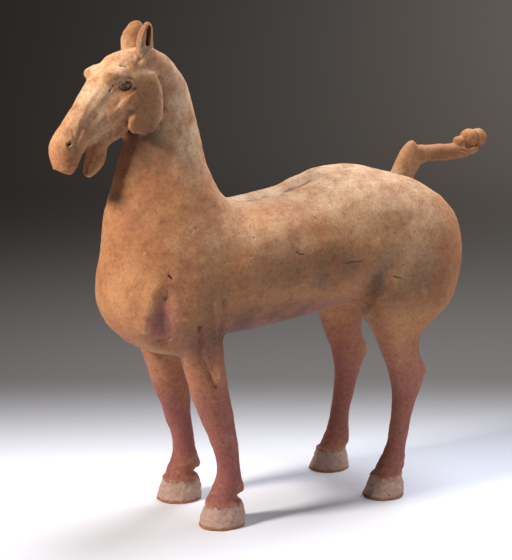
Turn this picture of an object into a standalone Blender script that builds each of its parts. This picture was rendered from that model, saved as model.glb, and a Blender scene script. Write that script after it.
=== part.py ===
"""Pottery horse figure: a standing horse of fired clay, its ears and tail made apart and set in sockets."""

import bmesh
import bpy
import numpy as np

# Driving dimensions, in metres
HEIGHT = 1.10              # soles to ear tips
EAR_CLEARANCE = 0.0006     # gap all round an ear's stem in its socket
TAIL_CLEARANCE = 0.0016    # gap all round the tail's stem in its socket
SEAT_GAP = 0.0004          # gap under the foot of a stem
CLAY_GRAIN = 0.0035        # how finely the pressed masses are worked
KNOT_GRAIN = 0.0022        # the same for the tail
SOFT_REACH = 0.042         # how far a wet hand wipes one mass into the next
HEAD_REACH = 0.007         # the same for the small masses of the head
SKIN_REACH = 0.006         # the last wipe over the whole skin
KNOT_REACH = 0.0044        # the same for the tail
FINISH_REACH = 0.005       # the wipe that rounds off the strokes on the head

# How finely the figure is worked
HORSE_FACES = 7000         # facets before the sockets are cut
TAIL_FACES = 900
BODY_SIDES = 48            # points round one ring
HEAD_SIDES = 40
LEG_SIDES = 36
TAIL_SIDES = 32
SOCKET_SIDES = 28
PEBBLE_LEVELS = 16
ROWS_TO_A_GAP = 5          # smooth rows between two rings of a table
WIPE_EASE = 0.6            # how far one pass of the hand takes a point to its neighbours' middle
RIM_STEEPNESS = 3          # a wiped spot is at full strength from a third of the way in
PEBBLE_POLE = 0.03         # width left at the poles of a pebble
SOLE_WELD = 1e-6           # metres
SHARP_ANGLE = 50           # degrees; steeper edges stay crisp
ROUGHNESS = 0.85           # dry, unglazed clay
COLLECTION = "pottery_horse_figure"

# The free form is kept as shares of the height: 1 is a thousandth of HEIGHT.
# The horse faces -Y and its left side is +X. Its length is centred on y = MIDDLE_Y.
MIDDLE_Y = 110.44

# Rings of a mass: front (or top) y, z; back (or bottom) y, z; half width; where it is widest; squareness
FOREQUARTERS = [
    ((-175, 347), (-95, 354), 55, 0.5, 2.0),
    ((-211, 357), (-76, 365), 90, 0.5, 2.2),
    ((-244, 376), (-52, 383), 114, 0.5, 2.3),
    ((-278, 413), (-28, 416), 132, 0.5, 2.3),
    ((-292, 450), (-18, 448), 139, 0.5, 2.3),
    ((-295, 490), (-15, 492), 140, 0.5, 2.3),
    ((-288, 550), (-12, 548), 130, 0.52, 2.2),
    ((-289, 597), (-15, 595), 113, 0.54, 2.1),
    ((-284, 640), (-25, 632), 95, 0.54, 2.0),
    ((-279, 660), (-40, 655), 86, 0.54, 2.0),
    ((-276, 680), (-54, 678), 78, 0.54, 2.0),
    ((-274, 697), (-62, 697), 70, 0.54, 2.0),
    ((-267, 720), (-71, 722), 62, 0.54, 2.0),
    ((-250, 768), (-84, 770), 50, 0.52, 2.0),
    ((-238, 805), (-94, 812), 44, 0.5, 2.0),
    ((-233, 840), (-105, 856), 38, 0.5, 2.0),
    ((-232, 860), (-119, 892), 36, 0.5, 2.0),
    ((-236, 876), (-142, 925), 37, 0.5, 2.0),
    ((-243, 890), (-172, 947), 35, 0.5, 2.0),
    ((-252, 903), (-205, 952), 26, 0.5, 2.0),
]
BARREL = [
    ((-180, 600), (-180, 380), 60, 0.5, 2.0),
    ((-120, 632), (-120, 362), 118, 0.5, 2.1),
    ((-60, 645), (-60, 370), 134, 0.5, 2.1),
    ((0, 644), (0, 373), 136, 0.5, 2.1),
    ((60, 650), (60, 377), 132, 0.5, 2.1),
    ((128, 663), (128, 387), 131, 0.5, 2.1),
    ((171, 679), (171, 392), 134, 0.5, 2.1),
    ((215, 692), (215, 397), 140, 0.5, 2.1),
    ((260, 694), (260, 402), 146, 0.5, 2.1),
    ((320, 686), (320, 405), 145, 0.5, 2.1),
    ((380, 664), (380, 415), 130, 0.5, 2.1),
    ((430, 630), (430, 440), 95, 0.5, 2.0),
    ((460, 590), (460, 480), 40, 0.5, 2.0),
]
SKULL = [
    ((-176, 945), (-196, 868), 32, 0.5, 2.0),
    ((-215, 952), (-213, 836), 43, 0.45, 2.2),
    ((-262, 940), (-236, 812), 47, 0.35, 2.6),
    ((-294, 914), (-258, 802), 46, 0.35, 2.8),
    ((-318, 889), (-278, 796), 40, 0.4, 2.8),
    ((-339, 860), (-298, 788), 34, 0.5, 2.7),
    ((-364, 827), (-322, 776), 31, 0.55, 2.6),
    ((-387, 798), (-337, 758), 31, 0.55, 2.5),
    ((-399, 776), (-346, 740), 33, 0.5, 2.4),
    ((-399, 752), (-354, 726), 31, 0.5, 2.3),
    ((-394, 730), (-362, 716), 22, 0.5, 2.0),
]
LOWER_JAW = [
    ((-246, 822), (-248, 783), 27, 0.5, 2.2),
    ((-285, 806), (-273, 773), 24, 0.5, 2.2),
    ((-308, 792), (-286, 762), 24, 0.5, 2.2),
    ((-320, 772), (-286, 746), 24, 0.5, 2.4),
    ((-324, 752), (-289, 730), 23, 0.5, 2.4),
    ((-329, 734), (-303, 718), 20, 0.5, 2.4),
    ((-333, 712), (-322, 706), 13, 0.5, 2.2),
]
TAIL_STUB = [
    ((380, 669), (428, 650), 18, 0.5, 3.0),
    ((389, 686), (436, 664), 18, 0.5, 3.0),
    ((399, 705), (446, 680), 17, 0.5, 2.8),
    ((409, 718), (450, 695), 16, 0.5, 2.6),
    ((420, 727), (446, 708), 12, 0.5, 2.4),
    ((428, 730), (437, 720), 5, 0.5, 2.0),
]
TAIL_STEM = [
    ((359, 635), (407, 616), 18, 0.5, 3.0),
    ((366, 646), (414, 627), 18, 0.5, 3.0),
    ((373, 657.5), (421, 638.5), 18, 0.5, 3.0),
]
TAIL_BAR = [
    ((424, 716), (440, 672), 12, 0.5, 2.2),
    ((440, 719), (452, 678), 16, 0.5, 2.2),
    ((465, 718), (470, 682), 17, 0.5, 2.2),
    ((500, 717), (505, 681), 17, 0.5, 2.2),
    ((530, 716), (540, 681), 17, 0.5, 2.2),
    ((555, 716), (565, 684), 16, 0.5, 2.2),
    ((572, 710), (578, 690), 9, 0.5, 2.2),
]

TAIL_SOCKET_REACH = 62      # from the stem's foot to clear of the rump

# Level rings of a leg: z; y and x of the middle; half width; half depth
FORELEG = [
    (-8, -88, 93, 44, 47),
    (0, -88, 93, 44, 47),
    (20, -84, 93, 41, 45),
    (36, -83, 93, 35, 42),
    (50, -86, 93, 30, 34),
    (58, -88, 93, 27, 29),
    (66, -82, 93, 26, 32),
    (84, -74, 93, 25, 31),
    (110, -73, 95, 21, 24.5),
    (146, -78, 96, 21, 25),
    (179, -87, 97, 24, 29),
    (218, -97, 93, 27, 35),
    (277, -113, 91, 32, 40),
    (330, -125, 92, 36, 43),
    (372, -134, 90, 42, 46),
    (430, -150, 82, 52, 60),
    (500, -160, 72, 58, 70),
    (560, -160, 60, 45, 60),
]
HIND_LEG = [
    (-8, 293, 107, 43, 45),
    (0, 293, 107, 43, 45),
    (20, 298, 107, 39, 40),
    (36, 300, 107, 33, 36),
    (50, 301, 107, 26, 28),
    (60, 309, 107, 24, 32),
    (70, 314, 107, 23, 30),
    (101, 320, 110, 20, 23),
    (135, 327, 112, 20, 22),
    (182, 336, 112, 21, 24),
    (219, 344, 111, 24, 31),
    (262, 347, 110, 27, 44),
    (296, 332, 110, 30, 42),
    (330, 324, 108, 36, 48),
    (351, 324, 104, 44, 57),
    (378, 340, 98, 55, 92),
    (401, 348, 92, 66, 107),
    (434, 352, 88, 74, 123),
    (470, 353, 84, 78, 136),
    (502, 352, 82, 80, 144),
    (535, 351, 80, 78, 144),
    (575, 348, 76, 72, 139),
    (607, 340, 70, 62, 129),
    (638, 325, 60, 48, 112),
    (659, 310, 50, 36, 92),
    (676, 285, 44, 24, 60),
    (684, 275, 42, 10, 30),
]
FORE_TUFT = [
    (118, -66, 94, 8, 9),
    (98, -62, 94, 13, 15),
    (80, -58, 94, 14, 19),
    (66, -53, 94, 12, 17),
    (59, -49, 94, 6, 11),
]
HIND_TUFT = [
    (100, 322, 108, 8, 9),
    (82, 326, 107, 13, 14),
    (64, 330, 106, 13, 14),
    (52, 333, 106, 11, 12),
    (46, 335, 106, 6, 8),
]

# An ear stands on a stem; its leaf's rings are level: z; lean back and outward; shares of width and chord
EAR_TURN = 28              # degrees, the front edge outward
EAR_ROOT = (27, -214)      # x, y of the stem
EAR_STEM_FOOT = 920
EAR_STEM_TOP = 958
EAR_SOCKET_TOP = 970       # clear of the skin round the ear
EAR_SIDES = 20
EAR_HALF_WIDTH = 12.5
EAR_HALF_CHORD = 21.5
EAR_LEAF = [
    (958, 0, 0, 1.0, 1.0),
    (966, 0, 0, 1.0, 1.0),
    (974, 1.5, -0.5, 0.94, 0.95),
    (982, 3.5, -1.5, 0.85, 0.85),
    (989, 5.5, -2.5, 0.70, 0.70),
    (994.5, 7, -3, 0.52, 0.52),
    (998.5, 8, -3.5, 0.30, 0.32),
    (1000, 8, -3.5, 0.10, 0.12),
]

# Pebbles of clay pressed on: middle x, y, z; half sizes; outline squareness; face squareness
HEAD_PEBBLES = [
    ((42, -230, 850), (15, 44, 61), 2.1, 4.5),     # cheek plate
    ((42, -285, 901), (17, 27, 17), 2.0, 2.0),     # brow
    ((31, -248, 893), (21, 55, 32), 2.0, 2.6),     # temple
    ((27, -214, 936), (18, 26, 20), 2.0, 2.0),     # collar of the ear socket
]
TAIL_PEBBLES = [
    ((0, 549, 719), (14, 13, 12), 2.0, 2.0),
    ((0, 575, 728), (18, 20, 17), 2.0, 2.0),
    ((0, 598, 724), (19, 23, 20), 2.0, 2.0),
    ((0, 581, 703), (17, 19, 14), 2.0, 2.0),
]

# Where masses are wiped together: middle x, y, z; half sizes; strength
BODY_SPOTS = [
    ((60, 100, 560), (170, 470, 175), 1.0),
    ((60, 320, 560), (170, 300, 190), 1.0),
    ((0, -170, 690), (110, 160, 110), 1.0),
    ((60, -190, 420), (80, 90, 70), 0.5),
    ((60, -110, 390), (60, 80, 60), 0.25),
    ((90, 320, 400), (90, 150, 70), 0.7),
    ((0, -160, 900), (50, 70, 70), 0.4),
]
HEAD_SPOTS = [((0, -270, 860), (150, 190, 130), 1.0)]
WHOLE_SKIN = [((0, 0, 500), (9000, 9000, 9000), 1.0)]

# Strokes of the tool: path of x, y, z; radius; depth (a swelling where negative).
# The back has one down its middle, and the others are made on both sides alike.
BACK_STROKE = ([(0, -10, 645), (0, 100, 655), (0, 200, 685), (0, 300, 685), (0, 375, 665)], 40, 13)
SIDE_STROKES = [
    ([(116, -225, 482), (108, -228, 440), (93, -222, 395)], 30, 9),                # pocket beside the chest
    ([(131, -193, 440), (120, -185, 395), (108, -172, 350)], 22, -4),              # front of the forearm
    ([(139, -128, 465), (130, -119, 382), (125, -113, 310)], 12, -4),              # rib down the forearm
    ([(134, -158, 420), (128, -154, 372), (126, -136, 330), (124, -119, 298)], 8, 4),  # line beside it
    ([(139, -102, 465), (131, -96, 405)], 12, 4),                                  # behind the elbow
    ([(153, 294, 508), (132, 248, 461), (92, 234, 417)], 36, 6),                   # flank before the thigh
    ([(52, -268, 884)], 16, 8),                                                    # eye socket
    ([(51, -268, 885)], 9, -5),                                                    # eyeball
    ([(44, -294, 888), (41, -296, 873)], 5, 4),                                    # inner corner of the eye
    ([(54, -255, 866), (50, -272, 849), (41, -291, 833)], 9, -6),                  # cheekbone ridge
    ([(46, -261, 836), (38, -264, 815)], 15, 8),                                   # hollow before the cheek
    ([(31, -377, 779)], 15, -3),                                                   # flare of the nostril
    ([(32, -379, 777)], 9, 11),                                                    # nostril
    ([(29, -350, 805), (31, -353, 788), (32, -360, 769)], 6, 6),                   # crease above the lip
    ([(22, -326, 782), (22, -334, 766)], 6, 6),                                    # corner of the mouth
]
EAR_STROKES = [
    ([(40, -221, 962), (39, -219, 974), (36, -214, 988)], 13, 6),
    ([(41, -213, 962), (40, -212, 974), (37, -208, 986)], 7, 5),
]
TAIL_STROKES = [
    ([(17, 562, 712), (17, 585, 711), (17, 606, 703)], 6, 5),
    ([(16, 545, 703), (17, 560, 700), (14, 566, 684)], 6, 5),
]


def share(value):
    """Thousandths of the height, as metres."""
    return np.asarray(value, float) * HEIGHT / 1000


def in_between(knots, steps):
    """Smooth rows between the rows of a table, so many steps to each gap."""
    knots = np.asarray(knots, float)
    padded = np.vstack([2 * knots[0] - knots[1], knots, 2 * knots[-1] - knots[-2]])
    rows = []
    for i in range(1, len(padded) - 2):
        before, start, end, after = padded[i - 1 : i + 3]
        for t in np.arange(steps) / steps:
            slope = (end - before) * t
            bend = (2 * before - 5 * start + 4 * end - after) * t**2
            twist = (3 * start - before - 3 * end + after) * t**3
            rows.append(0.5 * (2 * start + slope + bend + twist))
    rows.append(knots[-1])
    return np.array(rows)


def ring(row, sides):
    """One closed section across the horse, from its front point to its back point."""
    front_y, front_z, back_y, back_z, half_width, widest, squareness, middle_x = row
    angle = 2 * np.pi * np.arange(sides) / sides
    along, across = np.cos(angle), np.sin(angle)
    power = 2 / squareness
    reach = np.abs(along) ** power
    part = np.where(along > 0, widest * (1 - reach), widest + (1 - widest) * reach)
    offset = np.sign(across) * np.abs(across) ** power * half_width
    y = front_y + (back_y - front_y) * part
    z = front_z + (back_z - front_z) * part
    return share(np.stack([middle_x + offset, y - MIDDLE_Y, z], axis=1))


def skin(name, rings):
    """A closed skin over rings of points that all have the same count."""
    sides = len(rings[0])
    last = (len(rings) - 1) * sides
    faces = [tuple(reversed(range(sides))), tuple(range(last, last + sides))]
    for start in range(0, last, sides):
        for s in range(sides):
            t = (s + 1) % sides
            faces.append((start + s, start + t, start + sides + t, start + sides + s))
    mesh = bpy.data.meshes.new(name)
    mesh.from_pydata([tuple(point) for point in np.vstack(rings)], [], faces)
    shape = bmesh.new()
    shape.from_mesh(mesh)
    bmesh.ops.recalc_face_normals(shape, faces=shape.faces)
    shape.to_mesh(mesh)
    shape.free()
    return mesh


def loft(name, rows, sides, steps=ROWS_TO_A_GAP):
    return skin(name, [ring(row, sides) for row in in_between(rows, steps)])


def body_rows(table):
    return [(*front, *back, *shape, 0) for front, back, *shape in table]


def leg_rows(table, side):
    return [(y - depth, z, y + depth, z, width, 0.5, 2.0, side * x) for z, y, x, width, depth in table]


def pebble(middle, size, outline, face, side):
    """An egg of clay; a squarer face makes it a plate."""
    x, y, z = middle
    rows = []
    for angle in np.pi * np.arange(PEBBLE_LEVELS + 1) / PEBBLE_LEVELS:
        level = z + size[2] * np.sign(np.cos(angle)) * abs(np.cos(angle)) ** (2 / outline)
        wide = max(abs(np.sin(angle)) ** (2 / outline), PEBBLE_POLE)
        width = size[0] * wide ** (2 / face)
        rows.append((y - size[1] * wide, level, y + size[1] * wide, level, width, 0.5, face, side * x))
    return loft("pebble", rows, TAIL_SIDES, steps=1)


def pressed(name, masses, grain):
    """Masses of clay pressed into one lump with one skin."""
    shape = bmesh.new()
    for mesh in masses:
        shape.from_mesh(mesh)
    mesh = bpy.data.meshes.new(name)
    shape.to_mesh(mesh)
    shape.free()
    lump = bpy.data.objects.new(name, mesh)
    bpy.data.collections[COLLECTION].objects.link(lump)
    press = lump.modifiers.new("press", "REMESH")
    press.mode = "VOXEL"
    press.voxel_size = grain
    press.adaptivity = 0
    return settled(lump)


def settled(lump):
    """The lump with its changes made lasting."""
    graph = bpy.context.evaluated_depsgraph_get()
    mesh = bpy.data.meshes.new_from_object(lump.evaluated_get(graph))
    lump.modifiers.clear()
    lump.data = mesh
    return lump


def skin_points(mesh):
    points = np.empty(len(mesh.vertices) * 3)
    mesh.vertices.foreach_get("co", points)
    return points.reshape(-1, 3)


def move_skin(mesh, points):
    mesh.vertices.foreach_set("co", points.ravel())
    mesh.update()


def wipe(mesh, spots, reach):
    """Wiped smooth with a wet hand inside the spots, fading to nothing at their rims."""
    points = skin_points(mesh)
    weight = np.zeros(len(points))
    for (x, y, z), size, strength in spots:
        for side in (-1, 1):
            gap = (points - share((side * x, y - MIDDLE_Y, z))) / share(size)
            inside = np.clip(1 - np.linalg.norm(gap, axis=1), 0, 1)
            weight = np.maximum(weight, strength * np.clip(inside * RIM_STEEPNESS, 0, 1))
    edges = np.empty(len(mesh.edges) * 2, np.int64)
    mesh.edges.foreach_get("vertices", edges)
    start, end = edges.reshape(-1, 2).T
    here = np.concatenate([start, end])
    there = np.concatenate([end, start])
    count = np.bincount(here, minlength=len(points))
    length = np.linalg.norm(points[start] - points[end], axis=1).mean()
    for _ in range(max(1, round((reach / length) ** 2))):
        mean = [np.bincount(here, points[there, axis], len(points)) / count for axis in range(3)]
        points += WIPE_EASE * weight[:, None] * (np.stack(mean, 1) - points)
    move_skin(mesh, points)


def stroke(mesh, path, radius, depth, sides=(-1, 1)):
    """The tool drawn along a path: the skin sinks by the depth, fading to nothing at the radius."""
    for side in sides:
        points = skin_points(mesh)
        outward = np.empty(points.size)
        mesh.vertex_normals.foreach_get("vector", outward)
        line = [share((side * x, y - MIDDLE_Y, z)) for x, y, z in path]
        gap = np.linalg.norm(points - line[0], axis=1)
        for start, end in zip(line[:-1], line[1:]):
            along = end - start
            part = np.clip((points - start) @ along / (along @ along), 0, 1)
            gap = np.minimum(gap, np.linalg.norm(points - start - part[:, None] * along, axis=1))
        fade = np.clip(1 - (gap / share(radius)) ** 2, 0, 1) ** 2
        move_skin(mesh, points - (share(depth) * fade)[:, None] * outward.reshape(-1, 3))


def thinned(lump, faces):
    """The same skin in fewer facets, each quad counting as two."""
    mesh = lump.data
    now = sum(len(face.vertices) - 2 for face in mesh.polygons)
    thin = lump.modifiers.new("thin", "DECIMATE")
    thin.decimate_type = "COLLAPSE"
    thin.ratio = faces / now
    return settled(lump)


def level_soles(mesh):
    """The hoofs cut flat where they stand."""
    shape = bmesh.new()
    shape.from_mesh(mesh)
    bmesh.ops.bisect_plane(
        shape,
        geom=shape.verts[:] + shape.edges[:] + shape.faces[:],
        dist=SOLE_WELD,
        plane_co=(0, 0, 0),
        plane_no=(0, 0, 1),
        clear_inner=True,
    )
    bmesh.ops.holes_fill(shape, edges=[edge for edge in shape.edges if edge.is_boundary])
    bmesh.ops.recalc_face_normals(shape, faces=shape.faces)
    shape.to_mesh(mesh)
    shape.free()


def ear_ring(side, level, back=0, outward=0, width=1, chord=1, clearance=0.0):
    """A level section of an ear; back and outward lean it, width and chord thin it."""
    angle = 2 * np.pi * np.arange(EAR_SIDES) / EAR_SIDES
    across = (share(EAR_HALF_WIDTH * width) + clearance) * np.cos(angle)
    along = (share(EAR_HALF_CHORD * chord) + clearance) * np.sin(angle)
    turn = np.radians(EAR_TURN)
    x = across * np.cos(turn) - along * np.sin(turn)
    y = across * np.sin(turn) + along * np.cos(turn)
    root_x, root_y = EAR_ROOT
    x = side * (x + share(root_x + outward))
    y = y + share(root_y - MIDDLE_Y + back)
    return np.stack([x, y, np.full(EAR_SIDES, share(level))], axis=1)


def ear_leaf(side):
    stem_middle = (EAR_STEM_FOOT + EAR_STEM_TOP) / 2
    stem = [ear_ring(side, level) for level in (EAR_STEM_FOOT, stem_middle)]
    leaf = [ear_ring(side, *row) for row in in_between(EAR_LEAF, 2)]
    return stem + leaf


def ear_socket(side, name):
    """The stem's own section, wider all round, from under its foot to above the poll."""
    rings = []
    for height in (share(EAR_STEM_FOOT) - SEAT_GAP, share(EAR_SOCKET_TOP)):
        section = ear_ring(side, level=0, clearance=EAR_CLEARANCE)
        section[:, 2] = height
        rings.append(section)
    return skin(name, rings)


def clay(name, color):
    material = bpy.data.materials.new(name)
    material.use_nodes = True
    shader = material.node_tree.nodes["Principled BSDF"]
    shader.inputs["Base Color"].default_value = (*color, 1)
    shader.inputs["Roughness"].default_value = ROUGHNESS
    shader.inputs["Metallic"].default_value = 0.0
    return material


def body_clay():
    return clay("fired_clay", (0.46, 0.24, 0.13))


def tail_clay():
    return clay("tail_clay", (0.48, 0.24, 0.12))


def ear_clay(name):
    return clay(name + "_clay", (0.52, 0.31, 0.18))


def finished(lump, material):
    """Shaded smooth, in its own clay."""
    lump.data.materials.clear()
    lump.data.materials.append(material)
    lump.data.shade_smooth()
    lump.data.set_sharp_from_angle(angle=np.radians(SHARP_ANGLE))


def add_cutter(name, mesh, target):
    cutter = bpy.data.objects.new(name, mesh)
    cutter.hide_render = True
    cutter.display_type = "WIRE"
    bpy.data.collections[COLLECTION + "_cutters"].objects.link(cutter)
    cut = target.modifiers.new(name, "BOOLEAN")
    cut.operation = "DIFFERENCE"
    cut.solver = "EXACT"
    cut.object = cutter


def build_horse():
    masses = [
        loft("forequarters", body_rows(FOREQUARTERS), BODY_SIDES),
        loft("barrel", body_rows(BARREL), BODY_SIDES),
        loft("skull", body_rows(SKULL), HEAD_SIDES),
        loft("lower_jaw", body_rows(LOWER_JAW), HEAD_SIDES),
    ]
    for side in (-1, 1):
        for table in (FORELEG, HIND_LEG, FORE_TUFT, HIND_TUFT):
            masses.append(loft("leg", leg_rows(table, side), LEG_SIDES))
        for row in HEAD_PEBBLES:
            masses.append(pebble(*row, side))
    horse = pressed("horse", masses, CLAY_GRAIN)
    wipe(horse.data, BODY_SPOTS, SOFT_REACH)
    wipe(horse.data, HEAD_SPOTS, HEAD_REACH)
    wipe(horse.data, WHOLE_SKIN, SKIN_REACH)
    stroke(horse.data, *BACK_STROKE, sides=(1,))
    for row in SIDE_STROKES:
        stroke(horse.data, *row)
    wipe(horse.data, HEAD_SPOTS, FINISH_REACH)
    thinned(horse, HORSE_FACES)
    level_soles(horse.data)
    finished(horse, body_clay())
    return horse


def build_tail():
    masses = [
        loft("stub", body_rows(TAIL_STEM + TAIL_STUB), TAIL_SIDES),
        loft("bar", body_rows(TAIL_BAR), TAIL_SIDES),
    ]
    masses += [pebble(*row, side=1) for row in TAIL_PEBBLES]
    tail = pressed("tail", masses, KNOT_GRAIN)
    wipe(tail.data, WHOLE_SKIN, KNOT_REACH)
    for row in TAIL_STROKES:
        stroke(tail.data, *row)
    thinned(tail, TAIL_FACES)
    finished(tail, tail_clay())


def build_ear(side, name):
    ear = bpy.data.objects.new(name, skin(name, ear_leaf(side)))
    bpy.data.collections[COLLECTION].objects.link(ear)
    for row in EAR_STROKES:
        stroke(ear.data, *row)
    finished(ear, ear_clay(name))


def tail_socket():
    """The stem's own sections, wider all round, from under its foot to above the rump."""
    side_gap = TAIL_CLEARANCE / HEIGHT * 1000
    foot_gap = SEAT_GAP / HEIGHT * 1000
    foot = np.array(body_rows(TAIL_STEM)[0])
    rise = np.array(body_rows(TAIL_STUB)[0]) - body_rows(TAIL_STEM)[-1]
    up = rise[:2] / np.linalg.norm(rise[:2])
    across = foot[2:4] - foot[:2]
    across = across / np.linalg.norm(across)
    rings = []
    for lift in (-foot_gap, TAIL_SOCKET_REACH):
        row = foot.copy()
        row[:2] += up * lift - across * side_gap
        row[2:4] += up * lift + across * side_gap
        row[4] += side_gap
        rings.append(ring(row, SOCKET_SIDES))
    return skin("tail_socket", rings)


def main():
    for lump in list(bpy.data.objects):
        bpy.data.objects.remove(lump)
    for name in (COLLECTION, COLLECTION + "_cutters"):
        bpy.context.scene.collection.children.link(bpy.data.collections.new(name))
    horse = build_horse()
    build_tail()
    add_cutter("tail_socket", tail_socket(), horse)
    for side, name in ((1, "left"), (-1, "right")):
        build_ear(side, "ear_" + name)
        socket = "ear_socket_" + name
        add_cutter(socket, ear_socket(side, socket), horse)


main()
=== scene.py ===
# %% [markdown]
# # A pottery horse
# The real object is a hollow horse of fired red clay, about 1.1 m tall and some two thousand years old.
# Legs, barrel, neck and head were pressed in moulds and luted into one skin; the ears and the knotted
# tail were made apart and pushed into sockets. Burial has left buff, brown and grey stains on it.
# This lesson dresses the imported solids: it models the same masses again on a much finer grid, draws the
# carving into the skin, and then fires and stains the clay with node materials.

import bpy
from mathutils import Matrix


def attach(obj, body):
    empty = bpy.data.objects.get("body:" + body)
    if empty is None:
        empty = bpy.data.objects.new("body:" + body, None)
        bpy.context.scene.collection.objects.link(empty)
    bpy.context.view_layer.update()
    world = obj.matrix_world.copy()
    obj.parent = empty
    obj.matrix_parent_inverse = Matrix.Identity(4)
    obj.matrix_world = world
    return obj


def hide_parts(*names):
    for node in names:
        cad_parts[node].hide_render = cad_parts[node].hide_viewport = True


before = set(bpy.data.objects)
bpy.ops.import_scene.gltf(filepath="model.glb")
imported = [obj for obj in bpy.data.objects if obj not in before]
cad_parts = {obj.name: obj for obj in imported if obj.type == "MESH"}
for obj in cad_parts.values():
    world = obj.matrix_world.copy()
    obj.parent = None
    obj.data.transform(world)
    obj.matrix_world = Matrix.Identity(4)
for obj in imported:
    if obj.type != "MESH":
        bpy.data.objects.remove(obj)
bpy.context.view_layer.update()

# %% The tools of the lesson
import math

import bmesh
import bpy
import numpy as np
from mathutils import Vector

HEIGHT = 1.10  # metres, soles to ear tips
MIDDLE_Y = 110.44  # the tables below count y from the withers; the frame's origin lies here
BOTH = (-1, 1)  # the two sides of the horse; 1 is its left side, which the camera sees
ONCE = (1,)  # only where the table says, not mirrored


def share(value):
    """Thousandths of the height, as metres."""
    return np.asarray(value, float) * HEIGHT / 1000


def place(x, y, z):
    """A point of the tables in the frame, in metres."""
    return share((x, y - MIDDLE_Y, z))


# %% [markdown]
# ## Camera, floor and light
# The photographer stood to the front left of the horse, a little above its back, with a long lens.
# The floor is a sweep of paper that curves up into a wall, so it shows no horizon. The paper's colour is
# painted shade: pale under the horse and grey behind it, where the light falls off. The key light comes from
# the camera's left, above the horse's face. A wide lamp hangs high above and behind the horse, a weak one
# stands beyond the rump, and two light the paper behind. The Standard view transform leaves the bright
# parts as bright as they are.

# %% Camera
EYE = (3.316, -2.0005, 1.341)
LOOKED_AT = (0.0, -0.0715, 0.516)
LENS_MM = 112.62
SENSOR_MM = 36.0

camera = bpy.data.objects.new("camera", bpy.data.cameras.new("camera"))
camera.location = EYE
camera.rotation_euler = (Vector(LOOKED_AT) - Vector(EYE)).to_track_quat("-Z", "Y").to_euler()
camera.data.lens = LENS_MM
camera.data.sensor_width = SENSOR_MM
bpy.context.collection.objects.link(camera)
bpy.context.scene.camera = camera
print("camera", round((Vector(EYE) - Vector(LOOKED_AT)).length, 2), "m away")


# %% Colour and node helpers
def linear(hex_color):
    """An sRGB hex colour, as the linear light that shaders count in."""
    channels = [int(hex_color[i : i + 2], 16) / 255 for i in (1, 3, 5)]
    return (*[c / 12.92 if c <= 0.04045 else ((c + 0.055) / 1.055) ** 2.4 for c in channels], 1.0)


def add_node(tree, kind, links=None, **settings):
    """A node with its settings; links maps an input to the socket that feeds it or to its value."""
    node = tree.nodes.new(kind)
    for name, value in settings.items():
        setattr(node, name, value)
    for key, source in (links or {}).items():
        if isinstance(source, bpy.types.NodeSocket):
            tree.links.new(source, node.inputs[key])
        else:
            node.inputs[key].default_value = source
    return node


def between(tree, value, low, high):
    """The value spread so that low becomes 0 and high 1, with soft ends."""
    spread = add_node(
        tree,
        "ShaderNodeMapRange",
        {"Value": value, "From Min": low, "From Max": high},
        interpolation_type="SMOOTHSTEP",
    )
    return spread.outputs["Result"]


def over(tree, below, hex_color, amount, blend="MIX"):
    """A layer of colour laid over what is below it."""
    layer = add_node(
        tree,
        "ShaderNodeMix",
        {"Factor": amount, "A": below, "B": linear(hex_color)},
        data_type="RGBA",
        blend_type=blend,
    )
    return layer.outputs["Result"]


# %% Floor sweep
SWEEP_FRONT = 3.0  # metres from the origin, towards the camera
SWEEP_BACK = 4.4  # where the floor starts to curve up
SWEEP_RADIUS = 1.6
SWEEP_TOP = 5.0
SWEEP_HALF_WIDTH = 6.0
SWEEP_DROP = 0.0005  # the soles just clear the floor
SWEEP_STEPS = 25  # points on the curve from floor to wall
PAPER_PALE = "#e2e5ee"
# painted shade: the paper's grey far behind the horse, where the light falls off
PAPER_SHADE_GREY = "#615f5d"
PALE_UNTIL = -0.15  # metres behind the horse's middle, as the camera looks
GREY_FROM = 1.05
PAPER_ROUGHNESS = 0.9
PAPER_SPECULAR = 0.1


def away_from_camera():
    """The level direction in which the camera looks, one metre long."""
    return ((Vector(LOOKED_AT) - Vector(EYE)) * Vector((1, 1, 0))).normalized()


def sweep_profile():
    """Distance behind the horse and height, from the front edge to the top of the wall."""
    points = [(-SWEEP_FRONT, 0.0)]
    for angle in np.radians(np.linspace(0, 90, SWEEP_STEPS)):
        points.append((SWEEP_BACK + SWEEP_RADIUS * math.sin(angle), SWEEP_RADIUS * (1 - math.cos(angle))))
    points.append((SWEEP_BACK + SWEEP_RADIUS, SWEEP_TOP))
    return points


def build_sweep():
    away = away_from_camera()
    across = Vector((-away.y, away.x, 0))
    profile = sweep_profile()
    points = []
    for distance, height in profile:
        for side in (-1, 1):
            spot = away * distance + across * side * SWEEP_HALF_WIDTH
            points.append((spot.x, spot.y, height - SWEEP_DROP))
    faces = [(2 * i, 2 * i + 1, 2 * i + 3, 2 * i + 2) for i in range(len(profile) - 1)]
    mesh = bpy.data.meshes.new("floor_sweep")
    mesh.from_pydata(points, [], faces)
    mesh.shade_smooth()
    sweep = bpy.data.objects.new("floor_sweep", mesh)
    bpy.context.collection.objects.link(sweep)
    return sweep


def studio_paper():
    """Seamless paper: matt, pale under the horse, with painted shade that greys it behind."""
    material = bpy.data.materials.new("studio_paper")
    material.use_nodes = True
    tree = material.node_tree
    shader = tree.nodes["Principled BSDF"]
    where = add_node(tree, "ShaderNodeTexCoord").outputs["Object"]
    away = tuple(away_from_camera())
    behind = add_node(tree, "ShaderNodeVectorMath", {0: where, 1: away}, operation="DOT_PRODUCT")
    # painted shade: the paper turns from pale to grey with distance behind the horse
    shade = between(tree, behind.outputs["Value"], PALE_UNTIL, GREY_FROM)
    paper = over(tree, linear(PAPER_PALE), PAPER_SHADE_GREY, shade)
    tree.links.new(paper, shader.inputs["Base Color"])
    shader.inputs["Roughness"].default_value = PAPER_ROUGHNESS
    shader.inputs["Specular IOR Level"].default_value = PAPER_SPECULAR
    return material


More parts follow.
